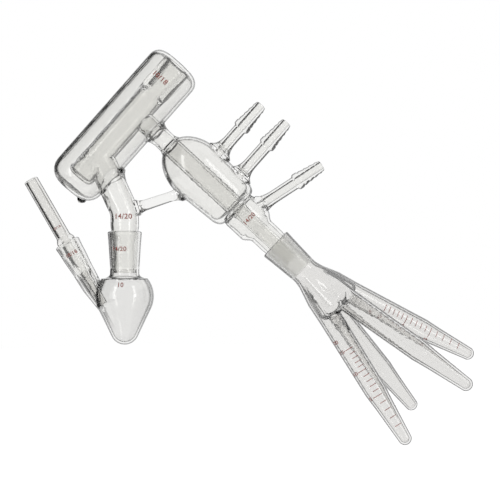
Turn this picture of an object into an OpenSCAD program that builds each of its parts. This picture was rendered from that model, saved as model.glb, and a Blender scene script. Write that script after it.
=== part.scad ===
// Short path distillation head in blown glass, with its flask, inlet tube and four-finger receiver.
// X runs towards the receiver, Z is up. The origin is on the flask neck's axis, where a stand's clamp grips it.

/* [Ground joints] */
// Large end of the large ground joints
large_joint_d = 14.5; // [13:0.5:18]
// Ground length of the large joints
large_joint_length = 20; // [18:1:22]
// Large end of the small ground joints
small_joint_d = 10; // [9.5:0.5:11]
// Ground length of the small joints
small_joint_length = 18; // [16:1:20]
// Loss of diameter for each millimetre of a ground joint
joint_taper = 0.1; // [0.08:0.01:0.12]
// Gap on the radius between two mated cones
joint_clearance = 0.05; // [0.02:0.01:0.1]
// Wall of an outer joint at its small end
joint_wall = 1.4; // [1.2:0.1:1.8]
// Extra thickness of an outer joint at its rim
rim_swell = 0.35; // [0.2:0.05:0.6]

/* [Still tube and jacket] */
// Slope of the still tube above level
still_slope = 48.6; // [45:0.2:54]
// Outer diameter of the vacuum jacket
jacket_d = 29.7; // [28:0.1:33]
// Wall of the vacuum jacket
jacket_wall = 1.4; // [1.1:0.1:1.8]
// Length of the jacket below the neck
jacket_foot = 24.2; // [22:0.2:30]
// Length of the jacket above the side arm
jacket_head = 35; // [33:0.1:44]
// Distance from the neck to the side arm along the still tube
arm_rise = 29.5; // [26:0.5:36]
// Round of the jacket's top
shoulder_r = 6.2; // [5:0.2:6.4]
// Round of the jacket's foot
foot_r = 9; // [7:0.5:11]
// Outer diameter of the inner still tube
still_d = 14.8; // [14:0.1:16]
// Gap between the closed ends of the tube and its jacket
foot_gap = 6.9; // [5:0.1:8]
// Outer diameter of the thermometer socket
socket_d = 16.4; // [15.8:0.1:16.8]
// Length of the cone below the socket's ground part
socket_run_out = 6; // [4:0.5:8]

/* [Neck] */
// Outer diameter of the neck
neck_d = 15.1; // [14.6:0.1:16]
// Wall of the neck and the still tube
tube_wall = 1.3; // [1:0.1:1.6]
// Height of the bend's corner above the flask's rim
neck_rise = 10.3; // [10:0.1:16]
// Lean of the upper neck from upright
neck_lean = 24.7; // [20:0.1:30]
// Length of the upper neck, from the corner to the still tube's axis
neck_run = 33.2; // [30:0.2:40]
// Radius of the bend's centre line
neck_bend_r = 16; // [12:1:20]
// Plain length below the neck's ground part
neck_tip = 2; // [1:0.5:3]
// Diameter of the brace rod
brace_d = 5.8; // [5:0.1:7]
// Brace's end on the water jacket, from the start of that jacket
brace_at = 28.7; // [27:0.1:30]

/* [Condenser] */
// Fall of the condenser below level
condenser_fall = 43; // [40:0.5:47]
// Bare side arm between the two jackets
arm_length = 10.8; // [9:0.2:16]
// Outer diameter of the side arm and the condenser tube
arm_d = 10.9; // [10:0.1:12]
// Greatest diameter of the water jacket
bulb_d = 31.8; // [30:0.2:36]
// Length of the water jacket's round end
bulb_round = 19; // [17:0.1:22]
// Length of the water jacket's slow taper
bulb_taper = 22.6; // [21:0.2:30]
// Diameter at the end of the slow taper
bulb_end_d = 28.6; // [27:0.2:31]
// Length over which the water jacket closes
bulb_close = 7; // [6:0.2:8]
// Wall of the water jacket and the take-off chamber
bulb_wall = 1.4; // [1.1:0.1:1.8]
// Thickness of the glass between the water and the take-off chamber
seal_wall = 1.6; // [1.2:0.1:2]
// Outer diameter of the take-off chamber
chamber_d = 20.8; // [20:0.2:24]
// Length of the take-off chamber
chamber_length = 12.5; // [11:0.5:16]
// Length over which the chamber narrows
chamber_neck = 5.1; // [4:0.1:7]
// Bare tube between the chamber and the receiver
drop_length = 9.4; // [8:0.2:14]
// Outer diameter of the drip tube
drip_d = 8; // [7:0.1:8.4]
// Wall of the drip tube
drip_wall = 1; // [0.8:0.1:1.2]
// Length of the drip tube inside the receiver's joint
drip_reach = 12; // [8:1:18]

/* [Hose connections] */
// Outer diameter of a stem
stem_d = 7; // [6.6:0.1:7.6]
// Swell of a hose connection at its foot on the condenser, on the radius
root_swell = 3.6; // [3:0.1:4]
// Bore of a stem
stem_bore = 3.6; // [3:0.1:4]
// Diameter of the innermost ridge
ridge_d = 9.2; // [8.8:0.1:9.6]
// Diameter of the outermost ridge
ridge_tip_d = 6.8; // [6.6:0.1:7.6]
// Depth of a groove between two ridges
ridge_depth = 0.55; // [0.4:0.05:0.7]
// Number of ridges
ridge_count = 5; // [4:1:6]
// Pitch of the ridges
ridge_pitch = 3.2; // [3:0.1:3.6]
// Cylindrical part of the innermost ridge, which grips the hose
ridge_land = 2; // [1.5:0.1:2.4]
// Water inlet, from the start of the water jacket
inlet_at = 37.7; // [36:0.1:40]
// Water outlet, from the start of the water jacket
outlet_at = 21.5; // [19:0.1:23]
// Reach of the water outlet from the condenser's axis
outlet_reach = 48.8; // [46:0.2:56]
// Reach of the water inlet from the condenser's axis
inlet_reach = 51.2; // [46:0.2:56]
// Vacuum connection, from the glass between the chambers
vacuum_at = 5.3; // [4.6:0.1:6]
// Lean of the vacuum connection towards the receiver
vacuum_lean = 13.7; // [8:0.1:18]
// Reach of the vacuum connection from the condenser's axis
vacuum_reach = 48.6; // [44:0.2:54]

/* [Flask] */
// Height of the flask's rim above the grip
rim_height = 10.9; // [10:0.1:12]
// Length of neck below the ground part
throat_length = 2.4; // [2:0.2:4]
// Greatest diameter of the pear
pear_d = 30.8; // [29:0.2:36]
// Distance from the greatest diameter down to the centre of the round bottom
pear_drop = 18; // [16:0.5:24]
// Radius of the pear's bottom
pear_bottom_r = 7.6; // [7:0.2:9]
// Drop from the throat to the greatest diameter
pear_shoulder = 12; // [11:0.2:14]
// Wall of the flask
flask_wall = 1.3; // [1:0.1:1.6]
// Lean of the side neck from upright
side_lean = 30; // [28:0.5:33]
// Distance of the side neck's rim from the flask's axis
side_out = 30.7; // [29.5:0.1:34]
// Drop of the side neck's rim below the flask's rim
side_drop = 5.9; // [4:0.1:8]
// Outer diameter of the side neck below its ground part
side_neck_d = 11.2; // [10.8:0.1:12]

/* [Inlet tube] */
// Outer diameter of the plain tube
inlet_d = 7.7; // [7:0.1:8.2]
// Wall of the plain tube
inlet_wall = 1.4; // [1.1:0.1:1.7]
// Length above the side neck's rim
inlet_rise = 38.3; // [32:0.5:46]
// Outer diameter of the tip
tip_d = 5.2; // [4.8:0.1:5.8]
// Length below the side neck's rim
tip_reach = 38; // [34:0.5:40]

/* [Receiver] */
// Half angle of the cone that the fingers lie on
finger_spread = 17; // [15:0.5:20]
// Distance from the receiver's rim to the point where the fingers' axes meet
finger_apex = 16; // [14:0.5:18]
// Length of a finger from that point
finger_length = 109.5; // [98:0.5:120]
// Outer diameter of a finger at the hub
finger_d = 13.2; // [12.4:0.1:14]
// Outer diameter of a finger near its tip
finger_tip_d = 7.2; // [6.6:0.1:8]
// Length of the tapered end of a finger
finger_taper = 24; // [20:1:30]
// Wall of a finger
finger_wall = 1.2; // [1:0.1:1.4]
// Turn of the first finger about the receiver's axis, from straight up
finger_turn = 65; // [0:5:90]
// Number of fingers
finger_count = 4; // [3:1:4]
// Greatest diameter of the hub
hub_d = 27; // [26:0.5:29]
// Distance from the receiver's rim to the hub's greatest diameter
hub_at = 44; // [42:0.5:47]
// Height of the hub's closed end
hub_dome = 6; // [5:0.5:7]
// Plain waist below the ground part
waist_length = 2; // [1:0.5:3]

/* [Hidden] */
$fn = 72;
clear_glass = [0.84, 0.91, 0.90];

// Radius of a ground cone at a distance from its large end
function large_r(d) = (large_joint_d - joint_taper * d) / 2;
function small_r(d) = (small_joint_d - joint_taper * d) / 2;

// Points on an arc, with angles from the outward direction
function arc(c, r, a0, a1, n = 6) = [
    for (i = [0:n])
        let (a = a0 + (a1 - a0) * i / n)
        c + r * [cos(a), sin(a)]
];

// Points on a smooth step from one radius to another, level at both ends
function ease(r0, r1, y0, y1, n = 6) = [
    for (i = [0:n])
        let (u = i / n)
        [r0 + (r1 - r0) * (1 - cos(180 * u)) / 2, y0 + (y1 - y0) * u]
];

// Points on a flare that is level at its thin end and steep at its root
function flare(r_thin, r_root, y_thin, y_root, n = 5) = [
    for (i = [0:n])
        let (
            u = i / n,
            swell = (1 - sqrt(1 - u * u * 0.96)) / 0.8
        )
        [r_thin + (r_root - r_thin) * swell, y_thin + (y_root - y_thin) * u]
];

// The same points from the root to the thin end
function flare_off(r_root, r_thin, y_root, y_thin, n = 5) = [
    for (i = [n:-1:0])
        flare(r_thin, r_root, y_thin, y_root, n)[i]
];

// Closed outline between the axis and a list of points
function on_axis(points) = concat([[0, points[0].y]], points, [[0, points[len(points) - 1].y]]);

// Places in the plane of the drawing, as X and Z
elbow = [0, rim_height + neck_rise];
neck_meet = elbow + neck_run * [-sin(neck_lean), cos(neck_lean)];
still_way = [cos(still_slope), sin(still_slope)];
run_way = [cos(condenser_fall), -sin(condenser_fall)];
crossing = neck_meet + arm_rise * still_way;

// Stations along the still tube, from the neck
still_foot = -jacket_foot;
still_top = arm_rise + jacket_head;
still_r = still_d / 2;
socket_end = still_top - small_joint_length;
still_bore_r = still_r - tube_wall;

// Stations along the condenser, from the still tube's axis
bulb_start = jacket_d / 2 + arm_length;
bulb_wide = bulb_start + bulb_round;
bulb_end = bulb_wide + bulb_taper;
seal_at = bulb_end + bulb_close;
chamber_end = seal_at + chamber_length;
drop_start = chamber_end + chamber_neck;
receiver_at = drop_start + drop_length;
receiver_rim = crossing + receiver_at * run_way;
arm_r = arm_d / 2;
drip_r = drip_d / 2;

// Heights in the flask
neck_end = rim_height - large_joint_length - neck_tip;
throat_z = rim_height - large_joint_length - throat_length;
pear_z = throat_z - pear_shoulder;
side_rim = [-side_out, rim_height - side_drop];

// A child that stands on the Z axis, laid along a slope in the plane of the drawing
module along(at, slope) {
    translate([at.x, 0, at.y])
        rotate([0, 90 - slope, 0])
            children();
}

module turned(points) {
    rotate_extrude()
        polygon(points);
}

// Still tube and its jacket, on the still tube's axis
module jacket_outline(inset) {
    r = jacket_d / 2 - inset;
    top = still_top - inset;
    foot = still_foot + inset;
    top_round = shoulder_r - inset;
    foot_round = foot_r - inset;
    polygon(on_axis(concat(
        arc([r - foot_round, foot + foot_round], foot_round, -90, 0),
        arc([r - top_round, top - top_round], top_round, 0, 90))));
}

module still_outline() {
    foot = still_foot + jacket_wall + foot_gap;
    foot_round = 2.6;
    polygon(on_axis(concat(
        arc([still_r - foot_round, foot + foot_round], foot_round, -90, 0, 4),
        ease(still_r, socket_d / 2, socket_end - socket_run_out, socket_end),
        [[socket_d / 2, still_top + 1]])));
}

module still_bore() {
    foot = still_foot + jacket_wall + foot_gap + tube_wall;
    foot_round = 1.6;
    mouth = 0.5;
    turned(on_axis(concat(
        arc([still_bore_r - foot_round, foot + foot_round], foot_round, -90, 0, 4),
        ease(still_bore_r, small_r(small_joint_length), socket_end - socket_run_out, socket_end),
        [[small_r(mouth), still_top - mouth]],
        [[small_r(0) + mouth, still_top], [small_r(0) + mouth, still_top + 1]])));
}

// The small seal where the jacket was pumped out
module seal_off_tip() {
    off_axis = 8.5;
    root = 2.6;
    height = 1.6;
    sunk = 2;
    translate([off_axis, 0, still_foot])
        turned(concat(
            [[0, sunk], [root, sunk], [root, 0.4], [0.75 * root, -0.4]],
            [[0.35 * root, -height * 0.8], [0, -height]]));
}

module vacuum_space() {
    difference() {
        along(neck_meet, still_slope)
            rotate_extrude()
                difference() {
                    jacket_outline(jacket_wall);
                    still_outline();
                }
        upper_neck(neck_d / 2);
        along(crossing, -condenser_fall)
            cylinder(r = arm_r, h = jacket_d);
    }
}

// Neck, from its ground joint through the bend to the still tube
module upper_neck(r) {
    bend_length = neck_bend_r * tan(neck_lean / 2);
    along(neck_meet, 90 + neck_lean)
        translate([0, 0, bend_length - neck_run])
            cylinder(r = r, h = neck_run - bend_length);
}

// The bend is a hair thinner than the two straight tubes, which it enters at both ends
module neck_bend(r) {
    bend_length = neck_bend_r * tan(neck_lean / 2);
    hair = 0.02;
    lap = 1.4;
    translate([-neck_bend_r, 0, elbow.y - bend_length])
        rotate([90, 0, 0])
            rotate([0, 0, -lap])
                rotate_extrude(angle = neck_lean + 2 * lap)
                    translate([neck_bend_r, 0])
                        circle(r - hair);
}

module lower_neck() {
    bend_length = neck_bend_r * tan(neck_lean / 2);
    ground_end = rim_height - large_joint_length;
    end_r = large_r(large_joint_length) - 0.4;
    turned(on_axis(concat(
        [[end_r, neck_end], [large_r(large_joint_length), neck_end + neck_tip * 0.6]],
        [[large_r(large_joint_length), ground_end], [large_r(0), rim_height]],
        ease(large_r(0), neck_d / 2, rim_height + 0.6, rim_height + 3, 4),
        [[neck_d / 2, elbow.y - bend_length]])));
}

module neck_bore() {
    bend_length = neck_bend_r * tan(neck_lean / 2);
    bore_r = neck_d / 2 - tube_wall;
    tip_r = large_r(large_joint_length) - tube_wall;
    upper_neck(bore_r);
    neck_bend(bore_r);
    turned(on_axis(concat(
        [[tip_r, neck_end - 1]],
        ease(tip_r, bore_r, rim_height - large_joint_length * 0.4, rim_height + 2, 5),
        [[bore_r, elbow.y - bend_length]])));
}

// Flared root of the neck on the jacket
module neck_root() {
    surface = jacket_d / 2 / sin(90 + neck_lean - still_slope);
    flare_length = 8.5;
    flare_r = neck_d / 2 + 2.05;
    sunk = 3;
    hair = 0.05;
    along(neck_meet, neck_lean - 90)
        turned(on_axis(concat(
            [[flare_r, surface - sunk - 2]],
            flare_off(flare_r, neck_d / 2 - hair, surface - sunk, surface - sunk + flare_length))));
}

// Brace rod between the neck's bend and the water jacket
module brace() {
    far = crossing + (bulb_start + brace_at) * run_way;
    way = far - elbow;
    slope = atan2(way.y, way.x);
    root_r = brace_d * 0.75;
    neck_face = neck_d / 2;
    bulb_face = norm(way) - bulb_d / 2 / sin(slope + condenser_fall);
    flare_length = 5;
    sunk = 3;
    along(elbow, slope)
        turned(on_axis(concat(
            [[root_r, neck_face - sunk]],
            flare_off(root_r, brace_d / 2, neck_face, neck_face + flare_length),
            flare(brace_d / 2 - 0.2, root_r, bulb_face - flare_length, bulb_face + 1),
            [[root_r, bulb_face + 1 + sunk]])));
}

// Condenser, take-off chamber and ground joint, on the condenser's axis
bulb_open = 24;

function bulb_arc(inset, n = 9) = [
    for (i = [0:n])
        let (a = bulb_open + (90 - bulb_open) * i / n)
        [(bulb_d / 2 - inset) * sin(a), bulb_wide - (bulb_round * 1.095 - inset) * cos(a)]
];

function bulb_close_arc(inset, end_r, n = 6) = [
    for (i = [1:n])
        let (a = 90 * i / n)
        [end_r + (bulb_end_d / 2 - inset - end_r) * cos(a), bulb_end + (bulb_close - inset) * sin(a)]
];

module condenser_outside() {
    jacket_face = jacket_d / 2;
    chamber_r = chamber_d / 2;
    bulb_root = bulb_arc(0)[0];
    arm_root = arm_r + 2.6;
    drop_r = large_r(0) + 0.15;
    turned(on_axis(concat(
        [[arm_root, jacket_face - 2.2]],
        flare_off(arm_root, arm_r, jacket_face - 1, jacket_face + 5),
        flare(arm_r, bulb_root.x, bulb_root.y - 4.2, bulb_root.y - 0.4),
        bulb_arc(0),
        bulb_close_arc(0, chamber_r - 0.3),
        [[chamber_r, seal_at + 1.4]],
        [[chamber_r, chamber_end - 1.5]],
        ease(chamber_r, drop_r, chamber_end, drop_start),
        [[drop_r, receiver_at - 2.5], [large_r(0), receiver_at - 0.8], [large_r(0), receiver_at]],
        [[large_r(large_joint_length), receiver_at + large_joint_length]])));
}

// Condenser tube, which narrows to the drip tube past the water
module condenser_tube() {
    turned(on_axis(concat(
        [[arm_r, bulb_start - 6]],
        ease(arm_r, drip_r, seal_at - 1, seal_at + 5),
        [[drip_r, receiver_at + drip_reach]])));
}

module condenser_bore() {
    turned(on_axis(concat(
        [[arm_r - tube_wall, 0]],
        ease(arm_r - tube_wall, drip_r - drip_wall, seal_at - 3, seal_at + 4),
        [[drip_r - drip_wall, receiver_at + drip_reach + 1]])));
}

module water_space() {
    difference() {
        turned(on_axis(concat(
            bulb_arc(bulb_wall),
            bulb_close_arc(bulb_wall, chamber_d / 2 - bulb_wall - 1))));
        condenser_tube();
    }
}

module take_off_space() {
    chamber_r = chamber_d / 2 - bulb_wall;
    corner_r = 1.5;
    drop_r = large_r(0) - tube_wall;
    end_r = large_r(large_joint_length) - tube_wall;
    start = seal_at + seal_wall - bulb_wall;
    difference() {
        turned(on_axis(concat(
            arc([chamber_r - corner_r, start + corner_r], corner_r, -90, 0, 4),
            ease(chamber_r, drop_r, chamber_end - bulb_wall, drop_start - 0.5),
            [[drop_r, receiver_at], [end_r, receiver_at + large_joint_length + 1]])));
        condenser_tube();
    }
}

// Serrated hose connection on its own axis, from the condenser's axis outwards
ridges_length = ridge_count * ridge_pitch;

module hose_connection(reach, root_at, root_r) {
    first = reach - ridges_length;
    step = (ridge_d - ridge_tip_d) / 2 / (ridge_count - 1);
    sunk = 3;
    flare_length = 8;
    tip_r = ridge_tip_d / 2 - ridge_depth;
    lip = 0.5;
    turned(on_axis(concat(
        [[root_r, root_at - sunk]],
        flare_off(root_r, stem_d / 2, root_at, root_at + flare_length),
        [[stem_d / 2, first - 1.2], [ridge_d / 2 - 0.2, first - 0.4], [ridge_d / 2, first]],
        [[ridge_d / 2, first + ridge_land]],
        [[ridge_d / 2 - ridge_depth, first + ridge_pitch - 0.35]],
        [
            for (i = [1:ridge_count - 1])
                let (r = ridge_d / 2 - i * step, y = first + i * ridge_pitch)
                each [
                    [r - 0.15, y + 0.1],
                    [r, y + 0.6],
                    [r - ridge_depth, y + ridge_pitch - (i < ridge_count - 1 ? 0.35 : lip)]
                ]
        ],
        arc([tip_r - lip, reach - lip], lip, 30, 90, 2))));
}

module stem_hole(reach) {
    start = arm_r + 0.8;
    translate([0, 0, start])
        cylinder(d = stem_bore, h = reach - start + 1);
}

module at_outlet() {
    along(crossing + (bulb_start + outlet_at) * run_way, still_slope)
        children();
}

module at_inlet() {
    along(crossing + (bulb_start + inlet_at) * run_way, still_slope)
        children();
}

module at_vacuum() {
    along(crossing + (seal_at + vacuum_at) * run_way, 90 - condenser_fall - vacuum_lean)
        children();
}

module still_head() {
    bulb_r = bulb_d / 2;
    chamber_r = chamber_d / 2;
    color(clear_glass)
        difference() {
            union() {
                along(neck_meet, still_slope) {
                    rotate_extrude()
                        jacket_outline(0);
                    seal_off_tip();
                }
                upper_neck(neck_d / 2);
                neck_bend(neck_d / 2);
                lower_neck();
                neck_root();
                brace();
                along(crossing, -condenser_fall)
                    condenser_outside();
                at_outlet()
                    hose_connection(outlet_reach, bulb_r, stem_d / 2 + root_swell);
                at_inlet()
                    hose_connection(inlet_reach, bulb_end_d / 2, stem_d / 2 + root_swell);
                at_vacuum()
                    hose_connection(vacuum_reach, chamber_r, stem_d / 2 + 0.6 * root_swell);
            }
            vacuum_space();
            along(neck_meet, still_slope)
                still_bore();
            neck_bore();
            along(crossing, -condenser_fall) {
                condenser_bore();
                water_space();
                take_off_space();
            }
            at_outlet()
                stem_hole(outlet_reach);
            at_inlet()
                stem_hole(inlet_reach);
            at_vacuum()
                stem_hole(vacuum_reach);
        }
}

// Pear outline: a round shoulder, a straight taper and a round bottom
function pear(inset) =
    let (
        top_r = pear_d / 2 - inset,
        bottom_r = pear_bottom_r - inset,
        lean = asin((pear_d / 2 - pear_bottom_r) / pear_drop)
    )
    concat(
        arc([0, pear_z - pear_drop], bottom_r, -90, -lean, 8),
        arc([0, pear_z], top_r, -lean, 38, 9));

module flask_outside() {
    neck_r = large_r(large_joint_length) + joint_wall + joint_clearance;
    rim_r = large_r(0) + joint_wall + joint_clearance + rim_swell;
    lip = 0.9;
    shoulder = pear(0);
    last = shoulder[len(shoulder) - 1];
    turned(on_axis(concat(
        shoulder,
        flare_up(last, [neck_r, throat_z]),
        [[neck_r, rim_height - large_joint_length], [rim_r - rim_swell, rim_height - 5]],
        arc([rim_r - lip, rim_height - lip], lip, 0, 90, 4))));
}

// Hollow curve from the pear's shoulder into the neck
function flare_up(from, to, n = 5) = [
    for (i = [1:n])
        let (a = 90 * i / n)
        [to.x + (from.x - to.x) * (1 - sin(a)), from.y + (to.y - from.y) * (1 - cos(a))]
];

module flask_inside() {
    throat_r = large_r(large_joint_length) + joint_clearance;
    inner = pear(flask_wall);
    last = inner[len(inner) - 1];
    mouth = 0.4;
    mouth_r = large_r(0) + joint_clearance + mouth;
    turned(on_axis(concat(
        inner,
        flare_up(last, [throat_r, throat_z]),
        [[throat_r, rim_height - large_joint_length]],
        [[large_r(mouth) + joint_clearance, rim_height - mouth]],
        [[mouth_r, rim_height], [mouth_r, rim_height + 1]])));
}

// Side neck on its own axis, from its rim downwards. It narrows where it enters the pear
side_root = side_out / sin(side_lean) - pear_drop - 2;
side_narrowing = 14;

module side_neck_outside() {
    rim_r = small_r(0) + joint_wall + joint_clearance + rim_swell;
    lip = 0.9;
    turned(on_axis(concat(
        [[side_neck_d / 2 - 2.6, -side_root]],
        [[side_neck_d / 2 - 0.3, side_narrowing - side_root]],
        ease(side_neck_d / 2, rim_r - rim_swell, -small_joint_length - 2, -5),
        arc([rim_r - lip, -lip], lip, 0, 90, 4))));
}

module side_neck_inside() {
    end_r = small_r(small_joint_length) + joint_clearance;
    mouth = 0.4;
    mouth_r = small_r(0) + joint_clearance + mouth;
    turned(on_axis(concat(
        [[end_r - 2, -side_root], [end_r - 0.3, side_narrowing - side_root]],
        [[end_r, -small_joint_length], [small_r(mouth) + joint_clearance, -mouth]],
        [[mouth_r, 0], [mouth_r, 1]])));
}

module flask() {
    color(clear_glass)
        difference() {
            union() {
                flask_outside();
                along(side_rim, 90 + side_lean)
                    side_neck_outside();
            }
            flask_inside();
            along(side_rim, 90 + side_lean)
                side_neck_inside();
        }
}

module inlet_tube() {
    tube_r = inlet_d / 2;
    bore_r = tube_r - inlet_wall;
    tip_r = tip_d / 2;
    tip_bore_r = tip_r - 1.1;
    joint_end_r = small_r(small_joint_length);
    joint_end = -small_joint_length;
    lip = 0.6;
    color(clear_glass)
        along(side_rim, 90 + side_lean)
            rotate_extrude()
                polygon(concat(
                    [[tip_bore_r, -tip_reach], [tip_r - 0.3, -tip_reach], [tip_r, -tip_reach + 0.6]],
                    ease(tip_r, joint_end_r - 0.3, joint_end - 4, joint_end - 0.6, 4),
                    [[joint_end_r, joint_end], [small_r(0), 0], [small_r(0), 0.8]],
                    ease(small_r(0), tube_r, 1.2, 4.2, 5),
                    arc([tube_r - lip, inlet_rise - lip], lip, 0, 90, 3),
                    arc([bore_r + lip, inlet_rise - lip], lip, 90, 180, 3),
                    ease(bore_r, tip_bore_r, joint_end + 6, joint_end - 3, 4)));
}

// Finger on its own axis, from the point where the axes meet
module finger_outline(inset) {
    root_r = finger_d / 2 - inset;
    tip_r = finger_tip_d / 2 - inset;
    mid_r = (finger_d + finger_tip_d) / 4 + 0.3 - inset;
    end = finger_length - inset;
    slow = finger_taper + 8;
    polygon(on_axis(concat(
        [[root_r - 1.2, 10], [root_r, 22], [root_r - 0.4, 34]],
        [[mid_r + 0.5, finger_length - slow], [mid_r - 0.3, finger_length - finger_taper]],
        arc([0, end - tip_r], tip_r, 12, 90, 6))));
}

module hub_outline(inset) {
    waist = large_joint_length + waist_length;
    waist_r = large_r(large_joint_length) + joint_wall + joint_clearance - inset;
    hub_r = hub_d / 2 - inset;
    flat_r = 3;
    polygon(on_axis(concat(
        [[waist_r, waist - (inset > 0 ? waist_length : 0)], [waist_r, waist]],
        [[waist_r + 0.5, waist + 2.5], [hub_r - 1.2, hub_at - 4]],
        [
            for (i = [0:6])
                let (a = 90 * i / 6)
                [flat_r + (hub_r - flat_r) * cos(a), hub_at + (hub_dome - inset) * sin(a)]
        ])));
}

module each_finger() {
    for (i = [0:finger_count - 1])
        rotate([0, 0, 180 + finger_turn + i * 360 / finger_count])
            translate([0, 0, finger_apex])
                rotate([0, finger_spread, 0])
                    children();
}

module receiver() {
    rim_r = large_r(0) + joint_wall + joint_clearance + rim_swell;
    joint_end_r = large_r(large_joint_length) + joint_clearance;
    waist_r = joint_end_r + joint_wall;
    mouth = 0.4;
    mouth_r = large_r(0) + joint_clearance + mouth;
    lip = 0.9;
    color(clear_glass)
        along(receiver_rim, -condenser_fall)
            difference() {
                union() {
                    turned(on_axis(concat(
                        arc([rim_r - lip, lip], lip, -90, 0, 4),
                        [[rim_r - rim_swell, 5], [waist_r, large_joint_length]],
                        [[waist_r, large_joint_length + waist_length]])));
                    rotate_extrude()
                        hub_outline(0);
                    each_finger()
                        rotate_extrude()
                            finger_outline(0);
                }
                turned(on_axis([
                    [mouth_r, -1],
                    [mouth_r, 0],
                    [large_r(mouth) + joint_clearance, mouth],
                    [joint_end_r, large_joint_length],
                    [joint_end_r, large_joint_length + waist_length]
                ]));
                rotate_extrude()
                    hub_outline(finger_wall);
                each_finger()
                    rotate_extrude()
                        finger_outline(finger_wall);
            }
}

still_head();
flask();
inlet_tube();
receiver();
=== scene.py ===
import math

import bpy
from mathutils import Matrix, Vector


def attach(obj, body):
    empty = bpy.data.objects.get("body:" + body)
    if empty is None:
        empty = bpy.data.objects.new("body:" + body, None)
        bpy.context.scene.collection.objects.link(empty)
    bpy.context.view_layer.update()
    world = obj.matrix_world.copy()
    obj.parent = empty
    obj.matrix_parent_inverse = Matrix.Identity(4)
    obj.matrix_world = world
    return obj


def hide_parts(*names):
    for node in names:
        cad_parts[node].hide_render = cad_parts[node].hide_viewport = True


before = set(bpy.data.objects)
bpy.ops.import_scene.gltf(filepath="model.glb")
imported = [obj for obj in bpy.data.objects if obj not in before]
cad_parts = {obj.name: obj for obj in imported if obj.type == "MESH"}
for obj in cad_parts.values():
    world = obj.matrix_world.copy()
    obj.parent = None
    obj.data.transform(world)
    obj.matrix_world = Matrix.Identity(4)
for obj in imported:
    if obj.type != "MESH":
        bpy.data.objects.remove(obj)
bpy.context.view_layer.update()

scene = bpy.context.scene
scene.view_settings.view_transform = "Standard"
# light passes many walls of glass
bounceSet = {"all": 32, "glossy": 12}
scene.cycles.max_bounces = bounceSet["all"]
scene.cycles.transmission_bounces = bounceSet["all"]
scene.cycles.glossy_bounces = bounceSet["glossy"]


# lines that the glass is turned about, in metres, as in the CAD model
def lineAt(x, z, slope):
    angle = math.radians(slope)
    return {"at": Vector((x, 0, z)) / 1000, "way": Vector((math.cos(angle), 0, math.sin(angle)))}


neckLine = lineAt(0, 0, 90)
stillLine = lineAt(-13.873, 51.363, 48.6)
condenserLine = lineAt(5.6355, 73.4907, -43)
sideLine = lineAt(-30.7, 5.0, 120)
receiverLine = lineAt(79.685, 4.438, -43)


def onLine(line, mm):
    return line["at"] + line["way"] * (mm / 1000)


# hose connections, each from the condenser's axis outwards
def hoseLine(mm, slope):
    foot = onLine(condenserLine, mm) * 1000
    return lineAt(foot.x, foot.z, slope)


outletLine = hoseLine(47.15, 48.6)
waterLine = hoseLine(63.35, 48.6)
vacuumLine = hoseLine(79.55, 33.3)


# camera, straight on and a little over the middle of the receiver's joint
cameraSet = {"place": (0.0664, -0.503, 0.00106), "lens": 68.3, "sensor": 36, "nearest": 0.01}


def addCamera(s):
    bpy.ops.object.camera_add(location=s["place"], rotation=(math.radians(90), 0, 0))
    camera = bpy.context.object
    camera.data.lens = s["lens"]
    camera.data.sensor_width = s["sensor"]
    camera.data.clip_start = s["nearest"]
    scene.camera = camera
    print("camera at", tuple(round(v, 4) for v in camera.location))


bpy.ops.object.select_all(action="DESELECT")
addCamera(cameraSet)


# small helpers for node trees
def newGroup(name, inputs, outputs):
    group = bpy.data.node_groups.new(name, "ShaderNodeTree")
    for label, kind, value in inputs:
        socket = group.interface.new_socket(label, in_out="INPUT", socket_type=kind)
        socket.default_value = value
    for label, kind in outputs:
        group.interface.new_socket(label, in_out="OUTPUT", socket_type=kind)
    return group, group.nodes.new("NodeGroupInput"), group.nodes.new("NodeGroupOutput")


def addMath(tree, how, a, b=None):
    node = tree.nodes.new("ShaderNodeMath")
    node.operation = how
    for slot, value in zip(node.inputs, (a, b)):
        if isinstance(value, (int, float)):
            slot.default_value = value
        elif value is not None:
            tree.links.new(value, slot)
    return node.outputs[0]


def addVector(tree, how, a, b=None, out="Vector"):
    node = tree.nodes.new("ShaderNodeVectorMath")
    node.operation = how
    for slot, value in zip(node.inputs, (a, b)):
        if isinstance(value, (tuple, Vector)):
            slot.default_value = value
        elif value is not None:
            tree.links.new(value, slot)
    return node.outputs[out]


def addStep(tree, value, low, high, toLow=0.0, toHigh=1.0):
    node = tree.nodes.new("ShaderNodeMapRange")
    node.interpolation_type = "SMOOTHSTEP"
    labels = ("Value", "From Min", "From Max", "To Min", "To Max")
    for slot, given in zip(labels, (value, low, high, toLow, toHigh)):
        if isinstance(given, (int, float)):
            node.inputs[slot].default_value = given
        else:
            tree.links.new(given, node.inputs[slot])
    return node.outputs["Result"]


# soft borders of the masks: along a tube and across it in metres, about a seam as a part of its reach
maskSet = {"along": 0.0005, "across": 0.0001, "core": 0.35}


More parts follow.
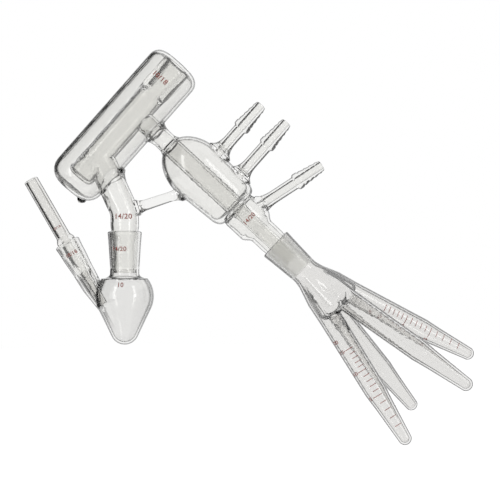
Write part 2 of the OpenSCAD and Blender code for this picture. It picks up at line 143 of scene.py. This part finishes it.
def makeGroundGroup(s):
    # mask of a length of tube: between two stations on a line, and between two radii about it
    tree, given, put = newGroup("groundJoint", [
        ("Place", "NodeSocketVector", (0, 0, 0)), ("Line At", "NodeSocketVector", (0, 0, 0)),
        ("Line Way", "NodeSocketVector", (0, 0, 1)), ("Start", "NodeSocketFloat", 0),
        ("End", "NodeSocketFloat", 0.02), ("Inner", "NodeSocketFloat", 0),
        ("Outer", "NodeSocketFloat", 0.01)], [("Mask", "NodeSocketFloat")])
    g = given.outputs
    away = addVector(tree, "SUBTRACT", g["Place"], g["Line At"])
    station = addVector(tree, "DOT_PRODUCT", away, g["Line Way"], "Value")
    square = addVector(tree, "DOT_PRODUCT", away, away, "Value")
    stationSquare = addMath(tree, "MULTIPLY", station, station)
    radius = addMath(tree, "SQRT", addMath(tree, "SUBTRACT", square, stationSquare))
    first = addStep(tree, station, g["Start"], addMath(tree, "ADD", g["Start"], s["along"]))
    last = addStep(tree, station, addMath(tree, "SUBTRACT", g["End"], s["along"]), g["End"], 1.0, 0.0)
    inner = addStep(tree, radius, addMath(tree, "SUBTRACT", g["Inner"], s["across"]), g["Inner"])
    outer = addStep(tree, radius, g["Outer"], addMath(tree, "ADD", g["Outer"], s["across"]), 1.0, 0.0)
    length = addMath(tree, "MULTIPLY", first, last)
    ring = addMath(tree, "MULTIPLY", inner, outer)
    tree.links.new(addMath(tree, "MULTIPLY", length, ring), put.inputs["Mask"])
    return tree


def makeSeamGroup(s):
    # mask of the thickened glass round a seam that was melted together by hand
    tree, given, put = newGroup("meltedSeam", [
        ("Place", "NodeSocketVector", (0, 0, 0)), ("Centre", "NodeSocketVector", (0, 0, 0)),
        ("Reach", "NodeSocketFloat", 0.006)], [("Mask", "NodeSocketFloat")])
    g = given.outputs
    gap = addVector(tree, "DISTANCE", g["Place"], g["Centre"], "Value")
    mask = addStep(tree, gap, addMath(tree, "MULTIPLY", g["Reach"], s["core"]), g["Reach"], 1.0, 0.0)
    tree.links.new(mask, put.inputs["Mask"])
    return tree


groundJoint = makeGroundGroup(maskSet)
meltedSeam = makeSeamGroup(maskSet)


def placeGroup(tree, group, place, values):
    node = tree.nodes.new("ShaderNodeGroup")
    node.node_tree = group
    tree.links.new(place, node.inputs["Place"])
    for label, value in values.items():
        node.inputs[label].default_value = value
    return node.outputs["Mask"]


def addNoise(tree, place, scale, detail):
    node = tree.nodes.new("ShaderNodeTexNoise")
    node.inputs["Scale"].default_value = scale
    node.inputs["Detail"].default_value = detail
    tree.links.new(place, node.inputs["Vector"])
    return node.outputs["Fac"]


# edges are steps of the facing angle for the painted shade along the rim, heights of the bump are in metres,
# noises are scale and detail
glassSet = {
    "ior": 1.47, "paintedEdgeShade": (0.05, 0.05, 0.05, 1), "slimPaintedEdge": (0.42, 0.62),
    "meltTint": (0.05, 0.05, 0.05, 1), "meltWide": 0.03, "meltDark": 0.85, "meltNoise": (260, 0.5),
    "frostVary": 0.05, "frostNoise": (900, 2.0),
    "wave": 0.00006, "waveNoise": (70, 1.0), "ripple": 0.0011, "rippleNoise": (330, 1.0),
    "grain": 0.000008, "grainNoise": (4000, 1.0),
}


def addMix(tree, factor, a, b):
    node = tree.nodes.new("ShaderNodeMix")
    node.data_type = "RGBA"
    tree.links.new(factor, node.inputs["Factor"])
    for slot, value in (("A", a), ("B", b)):
        if isinstance(value, tuple):
            node.inputs[slot].default_value = value
        else:
            tree.links.new(value, node.inputs[slot])
    return node.outputs["Result"]


def maskTubes(tree, place, tubes):
    mask = 0.0
    for line, start, end, inner, outer in tubes:
        one = placeGroup(tree, groundJoint, place, {
            "Line At": line["at"], "Line Way": line["way"], "Start": start / 1000, "End": end / 1000,
            "Inner": inner / 1000, "Outer": outer / 1000})
        mask = addMath(tree, "MAXIMUM", one, mask)
    return mask


def makeGlass(name, piece, s):
    material = bpy.data.materials.new(name)
    material.use_nodes = True
    tree = material.node_tree
    shader = tree.nodes["Principled BSDF"]
    shader.inputs["IOR"].default_value = s["ior"]
    shader.inputs["Transmission Weight"].default_value = 1.0
    place = tree.nodes.new("ShaderNodeTexCoord").outputs["Object"]
    ground = maskTubes(tree, place, piece["grounds"])
    slim = maskTubes(tree, place, piece["slims"])
    seam = 0.0
    for x, y, z, reach in piece["seams"]:
        one = placeGroup(tree, meltedSeam, place, {"Centre": Vector((x, y, z)) / 1000, "Reach": reach / 1000})
        seam = addMath(tree, "MAXIMUM", one, seam)
    # painted shade: the base colour is darkened towards the rim by the facing angle, where the wall is seen
    # edge on, and over a wider band on slender tubes
    facing = tree.nodes.new("ShaderNodeLayerWeight")
    facing.inputs["Blend"].default_value = 0.5
    narrow = addStep(tree, facing.outputs["Facing"], *piece["edge"])
    wide = addStep(tree, facing.outputs["Facing"], *s["slimPaintedEdge"])
    wider = addMath(tree, "MULTIPLY", addMath(tree, "SUBTRACT", wide, narrow), slim)
    paintedOutline = addMath(tree, "ADD", narrow, wider)
    edge = addMix(tree, paintedOutline, piece["tint"], s["paintedEdgeShade"])
    # thin dark curls where two tubes were melted together
    curl = addMath(tree, "ABSOLUTE", addMath(tree, "SUBTRACT", addNoise(tree, place, *s["meltNoise"]), 0.5))
    thread = addStep(tree, curl, 0.0, s["meltWide"], 1.0, 0.0)
    melt = addMath(tree, "MULTIPLY", addMath(tree, "MULTIPLY", thread, seam), s["meltDark"])
    marked = addMix(tree, melt, edge, s["meltTint"])
    tree.links.new(addMix(tree, ground, marked, piece["groundTint"]), shader.inputs["Base Color"])
    vary = addMath(tree, "MULTIPLY", addNoise(tree, place, *s["frostNoise"]), s["frostVary"])
    frost = addMath(tree, "MULTIPLY", ground, addMath(tree, "ADD", vary, piece["groundRough"]))
    tree.links.new(frost, shader.inputs["Roughness"])
    # slow waves of drawn tube, ripples at the seams, grain on the ground cones
    wave = addMath(tree, "MULTIPLY", addNoise(tree, place, *s["waveNoise"]), s["wave"])
    ripple = addMath(tree, "MULTIPLY", addNoise(tree, place, *s["rippleNoise"]), seam)
    ripple = addMath(tree, "MULTIPLY", ripple, s["ripple"])
    grain = addMath(tree, "MULTIPLY", addNoise(tree, place, *s["grainNoise"]), ground)
    grain = addMath(tree, "MULTIPLY", grain, s["grain"])
    height = addMath(tree, "ADD", addMath(tree, "ADD", wave, ripple), grain)
    bump = tree.nodes.new("ShaderNodeBump")
    bump.inputs["Distance"].default_value = 1.0
    tree.links.new(height, bump.inputs["Height"])
    tree.links.new(bump.outputs["Normal"], shader.inputs["Normal"])
    return material


# facets longer than a limit in metres are cut, so that a melted seam bends the shading only close to it
skinSet = {"weld": 0.000002, "cuts": ((0.012, 5), (0.0035, 2)), "smoothAngle": 40}


def copyNode(node, name, s):
    # the CAD solid's own walls, merged into one skin and shaded smooth
    piece = bpy.data.objects.new(name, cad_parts[node].data.copy())
    scene.collection.objects.link(piece)
    bpy.ops.object.select_all(action="DESELECT")
    piece.select_set(True)
    bpy.context.view_layer.objects.active = piece
    bpy.ops.object.mode_set(mode="EDIT")
    bpy.ops.mesh.select_mode(type="EDGE")
    bpy.ops.mesh.select_all(action="SELECT")
    bpy.ops.mesh.remove_doubles(threshold=s["weld"])
    bpy.ops.mesh.customdata_custom_splitnormals_clear()
    for longest, cuts in s["cuts"]:
        bpy.ops.mesh.select_all(action="DESELECT")
        bpy.ops.object.mode_set(mode="OBJECT")
        points = piece.data.vertices
        for edge in piece.data.edges:
            start, end = edge.vertices
            edge.select = (points[start].co - points[end].co).length > longest
        bpy.ops.object.mode_set(mode="EDIT")
        bpy.ops.mesh.subdivide(number_cuts=cuts)
        bpy.ops.mesh.select_all(action="SELECT")
        bpy.ops.mesh.quads_convert_to_tris(quad_method="BEAUTY", ngon_method="BEAUTY")
    bpy.ops.object.mode_set(mode="OBJECT")
    bpy.ops.object.shade_smooth_by_angle(angle=math.radians(s["smoothAngle"]))
    weigh = piece.modifiers.new("weigh", "WEIGHTED_NORMAL")
    weigh.mode = "FACE_AREA_WITH_ANGLE"
    weigh.keep_sharp = True
    bpy.ops.object.modifier_apply(modifier=weigh.name)
    print(name, len(piece.data.polygons), "faces")
    return piece


# In each piece's set, grounds and slims are a line with stations and radii in millimetres, and seams are a
# place with its reach. Slims are slender tubes, with a wider band of painted shade at the rim; edge gives the
# facing angles over which that painted shade comes in.

# still tube, jacket, neck, condenser and take-off chamber, blown as one piece
headSet = {
    "tint": (0.90, 0.898, 0.885, 1), "groundTint": (0.99, 0.99, 0.975, 1), "groundRough": 0.2,
    "edge": (0.56, 0.74),
    "grounds": [(neckLine, -9.1, 10.9, 5.9, 8.0), (condenserLine, 101.25, 121.25, 5.9, 7.6),
                (stillLine, 46.5, 64.3, 0, 6.0)],
    "slims": [(outletLine, 17, 60, 0, 5.4), (waterLine, 16, 60, 0, 5.4), (vacuumLine, 12, 60, 0, 5.4),
              (condenserLine, 27, 73, 0, 5.7), (stillLine, -20, 44, 0, 7.7)],
    "seams": [(-19, 0, 48, 9), (-7.5, 0, 37, 7), (-8, 0, 27, 5), (14, 0, 63, 6.5), (10, 0, 70, 6),
              (-27, 0, 36, 6), (57, 0, 19, 7), (66, 0, 30, 5), (23, 0, 56, 5), (9, 0, 22, 3)],
}
headGlass = copyNode("still_head", "headGlass", skinSet)
headGlass.data.materials.clear()
headGlass.data.materials.append(makeGlass("headGlass", headSet, glassSet))
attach(headGlass, "head")
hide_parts("still_head")

# pear flask with its side neck, ground inside both necks
flaskSet = {
    "tint": (0.87, 0.868, 0.86, 1), "groundTint": (1.0, 1.0, 0.99, 1), "groundRough": 0.12,
    "edge": (0.52, 0.68),
    "grounds": [(neckLine, -9.1, 10.9, 0, 7.7), (sideLine, -18, 0, 0, 5.6)],
    "slims": [], "seams": [(-14, 0, -18, 6), (-9, 0, -12, 4)],
}
flaskGlass = copyNode("flask", "flaskGlass", skinSet)
flaskGlass.data.materials.clear()
flaskGlass.data.materials.append(makeGlass("flaskGlass", flaskSet, glassSet))
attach(flaskGlass, "head")
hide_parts("flask")

# inlet tube in the side neck
inletSet = {
    "tint": (0.85, 0.845, 0.83, 1), "groundTint": (1.0, 1.0, 0.99, 1), "groundRough": 0.12,
    "edge": (0.44, 0.62),
    "grounds": [(sideLine, -18, 0.4, 3.6, 5.6)],
    "slims": [], "seams": [(-31.5, 0, 7, 4)],
}
inletGlass = copyNode("inlet_tube", "inletGlass", skinSet)
inletGlass.data.materials.clear()
inletGlass.data.materials.append(makeGlass("inletGlass", inletSet, glassSet))
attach(inletGlass, "head")
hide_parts("inlet_tube")

# receiver with four fingers, ground inside its joint
receiverSet = {
    "tint": (0.86, 0.855, 0.845, 1), "groundTint": (0.90, 0.90, 0.885, 1), "groundRough": 0.34,
    "edge": (0.42, 0.56),
    "grounds": [(receiverLine, 0, 20, 0, 7.7)],
    "slims": [], "seams": [(116, -9, -36, 7), (124, -6, -24, 6), (112, 6, -36, 7), (122, 9, -26, 6)],
}
receiverGlass = copyNode("receiver", "receiverGlass", skinSet)
receiverGlass.data.materials.clear()
receiverGlass.data.materials.append(makeGlass("receiverGlass", receiverSet, glassSet))
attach(receiverGlass, "receiver")
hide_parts("receiver")


# printed ink, a thin skin laid on the glass
inkSet = {
    "dark": (0.16, 0.05, 0.04, 1), "pale": (0.42, 0.13, 0.11, 1), "darkAt": 0.3, "paleAt": 0.7,
    "colourNoise": (1400, 3.0), "roughNoise": (2600, 2.0), "roughStep": (0.2, 0.8, 0.35, 0.6),
    "lift": 0.00003, "thick": 0.00003, "space": 1.1, "bold": 0.03, "digit": 0.7,
}


def makeInk(s):
    material = bpy.data.materials.new("firedInk")
    material.use_nodes = True
    tree = material.node_tree
    shader = tree.nodes["Principled BSDF"]
    place = tree.nodes.new("ShaderNodeTexCoord").outputs["Object"]
    ramp = tree.nodes.new("ShaderNodeValToRGB")
    first, last = ramp.color_ramp.elements
    first.position, first.color = s["darkAt"], s["dark"]
    last.position, last.color = s["paleAt"], s["pale"]
    tree.links.new(addNoise(tree, place, *s["colourNoise"]), ramp.inputs["Fac"])
    tree.links.new(ramp.outputs["Color"], shader.inputs["Base Color"])
    rough = addStep(tree, addNoise(tree, place, *s["roughNoise"]), *s["roughStep"])
    tree.links.new(rough, shader.inputs["Roughness"])
    return material


firedInk = makeInk(inkSet)


def faceFrame(line, mm, up, turn, stand):
    # a flat frame in front of a tube: Z out of the glass, Y along the tube, X across it
    out = Matrix.Rotation(math.radians(turn), 3, line["way"]) @ Vector((0, -1, 0))
    out = (out - line["way"] * out.dot(line["way"])).normalized()
    rise = line["way"] * up
    across = rise.cross(out)
    spot = onLine(line, mm) + out * stand
    return Matrix(((across.x, rise.x, out.x, spot.x), (across.y, rise.y, out.y, spot.y),
                   (across.z, rise.z, out.z, spot.z), (0, 0, 0, 1)))


def flatNumber(text, height, x, y):
    bpy.ops.object.select_all(action="DESELECT")
    bpy.ops.object.text_add(location=(x, y, 0))
    word = bpy.context.object
    word.data.body = text
    word.data.size = height / inkSet["digit"]
    word.data.align_x = "CENTER"
    word.data.align_y = "CENTER"
    word.data.space_character = inkSet["space"]
    word.data.offset = height * inkSet["bold"]
    bpy.ops.object.convert(target="MESH")
    bpy.ops.object.mode_set(mode="EDIT")
    bpy.ops.mesh.select_all(action="SELECT")
    bpy.ops.mesh.quads_convert_to_tris()
    bpy.ops.mesh.subdivide(number_cuts=1)
    bpy.ops.object.mode_set(mode="OBJECT")
    bpy.ops.object.transform_apply(location=True, rotation=True, scale=True)
    return word


def flatTick(length, width, x, y):
    bpy.ops.object.select_all(action="DESELECT")
    bpy.ops.mesh.primitive_grid_add(x_subdivisions=8, y_subdivisions=1, size=1, location=(x, y, 0))
    tick = bpy.context.object
    tick.scale = (length, width, 1)
    bpy.ops.object.transform_apply(location=True, rotation=True, scale=True)
    return tick


def layInk(flats, name, frameMatrix, glass, body):
    # join the flat prints, lay them on the glass and give the ink its thickness
    bpy.ops.object.select_all(action="DESELECT")
    for flat in flats:
        flat.select_set(True)
    bpy.context.view_layer.objects.active = flats[0]
    if len(flats) > 1:
        bpy.ops.object.join()
    ink = bpy.context.object
    ink.name = name
    ink.matrix_world = frameMatrix
    wrap = ink.modifiers.new("lay", "SHRINKWRAP")
    wrap.target = glass
    wrap.wrap_method = "PROJECT"
    wrap.use_project_z = True
    wrap.use_negative_direction = True
    wrap.use_positive_direction = False
    wrap.offset = inkSet["lift"]
    bpy.ops.object.modifier_apply(modifier="lay")
    skin = ink.modifiers.new("skin", "SOLIDIFY")
    skin.thickness = inkSet["thick"]
    skin.offset = 1.0
    bpy.ops.object.modifier_apply(modifier="skin")
    bpy.ops.object.transform_apply(location=True, rotation=True, scale=True)
    ink.data.materials.clear()
    ink.data.materials.append(firedInk)
    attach(ink, body)
    print(name, len(ink.data.polygons), "faces")


# joint sizes and the flask's size, printed from well outside the glass
markStand = 0.03
marks = [
    {"name": "jacketSize", "text": "10/18", "line": stillLine, "at": 51.3, "up": 1, "turn": 0,
     "height": 0.0026, "glass": headGlass},
    {"name": "neckSize", "text": "14/20", "line": neckLine, "at": 18.6, "up": 1, "turn": 0,
     "height": 0.0026, "glass": headGlass},
    {"name": "chamberSize", "text": "14/20", "line": condenserLine, "at": 82.5, "up": -1, "turn": 0,
     "height": 0.0022, "glass": headGlass},
    {"name": "flaskNeckSize", "text": "14/20", "line": neckLine, "at": 1.6, "up": 1, "turn": -14,
     "height": 0.0022, "glass": flaskGlass},
    {"name": "flaskSize", "text": "10", "line": neckLine, "at": -17.0, "up": 1, "turn": -2,
     "height": 0.0022, "glass": flaskGlass},
    {"name": "sideNeckSize", "text": "10/18", "line": sideLine, "at": -7.0, "up": 1, "turn": 0,
     "height": 0.0019, "glass": flaskGlass},
    {"name": "inletSize", "text": "10/18", "line": sideLine, "at": 9.0, "up": 1, "turn": 0,
     "height": 0.0012, "glass": inletGlass},
]
for m in marks:
    number = flatNumber(m["text"], m["height"], 0, 0)
    onGlass = faceFrame(m["line"], m["at"], m["up"], m["turn"], markStand)
    layInk([number], m["name"], onGlass, m["glass"], "head")

# scale on two fingers, wider spaced towards the narrow tip, and laid on from close by, clear of the next finger
scaleSet = {
    "apex": 16, "spread": 17, "stand": 0.0085,
    "long": [52, 65, 80], "short": [54.6, 57.2, 59.8, 62.4, 68, 71, 74, 77, 84, 88.3, 93, 98],
    "longTick": 0.0052, "longAt": 0.0004, "shortTick": 0.0034, "shortAt": 0.0013, "line": 0.00034,
    "numbers": {46: "20", 52: "15", 65: "10", 80: "5"}, "height": 0.0019, "numberAt": -0.0037,
}


def fingerLine(angle, s):
    way = receiverLine["way"]
    leaning = Matrix.Rotation(math.radians(s["spread"]), 3, Vector((0, 1, 0))) @ way
    turned = Matrix.Rotation(math.radians(angle), 3, way) @ leaning
    return {"at": onLine(receiverLine, s["apex"]), "way": turned}


def addScale(name, angle, turn, s):
    flats = []
    for station in s["long"]:
        flats.append(flatTick(s["longTick"], s["line"], s["longAt"], -station / 1000))
    for station in s["short"]:
        flats.append(flatTick(s["shortTick"], s["line"], s["shortAt"], -station / 1000))
    for station, text in s["numbers"].items():
        flats.append(flatNumber(text, s["height"], s["numberAt"], -station / 1000))
    onFinger = faceFrame(fingerLine(angle, s), 0, -1, turn, s["stand"])
    layInk(flats, name, onFinger, receiverGlass, "receiver")


addScale("lowScale", 335, 12, scaleSet)
addScale("highScale", 155, 0, scaleSet)


# stage: white room, pale floor, two strip lights
# the floor's left side gets painted shade, seen only through the glass, between the two given x stations
stageSet = {
    "floorAt": (0.07, 0, -0.30), "floorSize": 2.5, "floorSides": 96, "floorColor": (0.82, 0.82, 0.82, 1),
    "floorGlow": 0.46, "paintedShadeFrom": -0.80, "paintedShadeTo": -0.60, "paintedShadeDark": 0.05,
}


def makeFloor(s):
    bpy.ops.object.select_all(action="DESELECT")
    bpy.ops.mesh.primitive_circle_add(
        vertices=s["floorSides"], radius=s["floorSize"], fill_type="NGON", location=s["floorAt"])
    floor = bpy.context.object
    floor.name = "floor"
    material = bpy.data.materials.new("paleFloor")
    material.use_nodes = True
    tree = material.node_tree
    tree.nodes.remove(tree.nodes["Principled BSDF"])
    path = tree.nodes.new("ShaderNodeLightPath")
    matt = tree.nodes.new("ShaderNodeBsdfDiffuse")
    matt.inputs["Color"].default_value = s["floorColor"]
    glow = tree.nodes.new("ShaderNodeEmission")
    seen = addMath(tree, "MULTIPLY", path.outputs["Is Camera Ray"], s["floorGlow"])
    tree.links.new(seen, glow.inputs["Strength"])
    pale = tree.nodes.new("ShaderNodeAddShader")
    tree.links.new(matt.outputs[0], pale.inputs[0])
    tree.links.new(glow.outputs[0], pale.inputs[1])
    # seen through the glass it is plain white, and darker on the left with painted shade, so that the glass
    # shows a dark side
    place = tree.nodes.new("ShaderNodeTexCoord").outputs["Object"]
    leftward = addVector(tree, "DOT_PRODUCT", place, (1, 0, 0), "Value")
    white = tree.nodes.new("ShaderNodeEmission")
    paintedShade = addStep(tree, leftward, s["paintedShadeFrom"], s["paintedShadeTo"], s["paintedShadeDark"], 1.0)
    tree.links.new(paintedShade, white.inputs["Strength"])
    clear = addMath(tree, "MAXIMUM", path.outputs["Is Glossy Ray"], path.outputs["Is Transmission Ray"])
    both = tree.nodes.new("ShaderNodeMixShader")
    tree.links.new(clear, both.inputs[0])
    tree.links.new(pale.outputs[0], both.inputs[1])
    tree.links.new(white.outputs[0], both.inputs[2])
    tree.links.new(both.outputs[0], tree.nodes["Material Output"].inputs["Surface"])
    floor.data.materials.append(material)


makeFloor(stageSet)

# white to the camera, even light for matt things, and one dark side for what shows in the glass
roomSet = {"darkWay": (-0.85, 0.20, 0.42), "darkFrom": 0.62, "darkTo": 0.74, "dark": 0.03, "light": 0.75}


def makeRoom(s):
    world = bpy.data.worlds.new("whiteRoom")
    scene.world = world
    world.use_nodes = True
    tree = world.node_tree
    tree.nodes.clear()
    way = tree.nodes.new("ShaderNodeTexCoord").outputs["Generated"]
    path = tree.nodes.new("ShaderNodeLightPath")
    toDark = addVector(tree, "DOT_PRODUCT", way, tuple(Vector(s["darkWay"]).normalized()), "Value")
    shade = addStep(tree, toDark, s["darkFrom"], s["darkTo"], 1.0, s["dark"])
    clear = addMath(tree, "MAXIMUM", path.outputs["Is Glossy Ray"], path.outputs["Is Transmission Ray"])
    plain = tree.nodes.new("ShaderNodeBackground")
    plain.inputs["Strength"].default_value = s["light"]
    through = tree.nodes.new("ShaderNodeBackground")
    tree.links.new(shade, through.inputs["Strength"])
    white = tree.nodes.new("ShaderNodeBackground")
    for node in (plain, through, white):
        node.inputs["Color"].default_value = (1, 1, 1, 1)
    first = tree.nodes.new("ShaderNodeMixShader")
    tree.links.new(clear, first.inputs[0])
    tree.links.new(plain.outputs[0], first.inputs[1])
    tree.links.new(through.outputs[0], first.inputs[2])
    second = tree.nodes.new("ShaderNodeMixShader")
    tree.links.new(path.outputs["Is Camera Ray"], second.inputs[0])
    tree.links.new(first.outputs[0], second.inputs[1])
    tree.links.new(white.outputs[0], second.inputs[2])
    put = tree.nodes.new("ShaderNodeOutputWorld")
    tree.links.new(second.outputs[0], put.inputs["Surface"])


makeRoom(roomSet)

lampAim = Vector((0.066, 0, 0))
lampSet = [
    {"name": "leftStrip", "at": (-0.55, -0.75, 0.25), "size": (0.16, 0.9), "watt": 1.4},
    {"name": "rightStrip", "at": (0.75, -0.65, 0.35), "size": (0.2, 0.9), "watt": 1.4},
]
for lamp in lampSet:
    bpy.ops.object.light_add(type="AREA", location=lamp["at"])
    light = bpy.context.object
    light.name = lamp["name"]
    light.data.shape = "RECTANGLE"
    light.data.size, light.data.size_y = lamp["size"]
    light.data.energy = lamp["watt"]
    light.rotation_euler = (lampAim - Vector(lamp["at"])).to_track_quat("-Z", "Y").to_euler()
print("stage ready")
